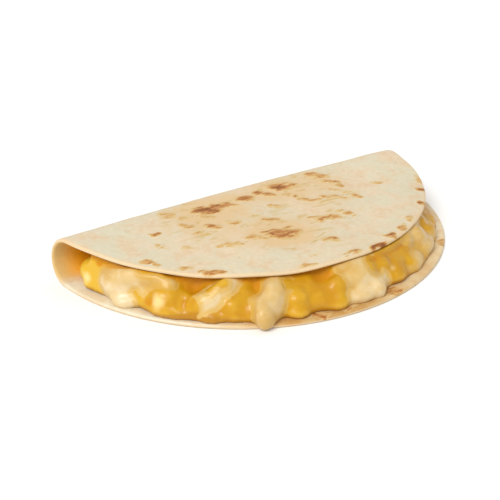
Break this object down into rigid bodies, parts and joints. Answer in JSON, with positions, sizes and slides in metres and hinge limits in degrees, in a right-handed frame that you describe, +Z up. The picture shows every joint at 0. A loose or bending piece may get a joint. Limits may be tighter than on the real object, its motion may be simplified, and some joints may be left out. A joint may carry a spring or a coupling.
{
  "type": "cheese quesadilla",
  "caption": "Folded flour tortilla with toasted spots, filled with melted yellow and white cheese that swells and drips out of the open curved side.",
  "frame": {"origin": "middle of the bounding box's bottom face, on the surface the quesadilla lies on", "axes": "+X along the fold, from the near end to the far end of the picture; +Y from the open curved side to the fold; +Z up"},
  "size_m": [0.18, 0.0944, 0.0211],
  "materials": {
    "tortilla": "soft matte flour tortilla, cream, with brown griddle marks",
    "yellow_cheese": "melted golden cheese, glossy",
    "white_cheese": "melted creamy white cheese, glossy"
  },
  "bodies": {
    "root": {"tortilla": "tortilla", "yellow_cheese": "yellow_cheese", "white_cheese_near_end": "white_cheese", "white_cheese_strand": "white_cheese", "white_cheese_drip": "white_cheese", "white_cheese_front": "white_cheese", "white_cheese_far_side": "white_cheese"}
  },
  "joints": []
}
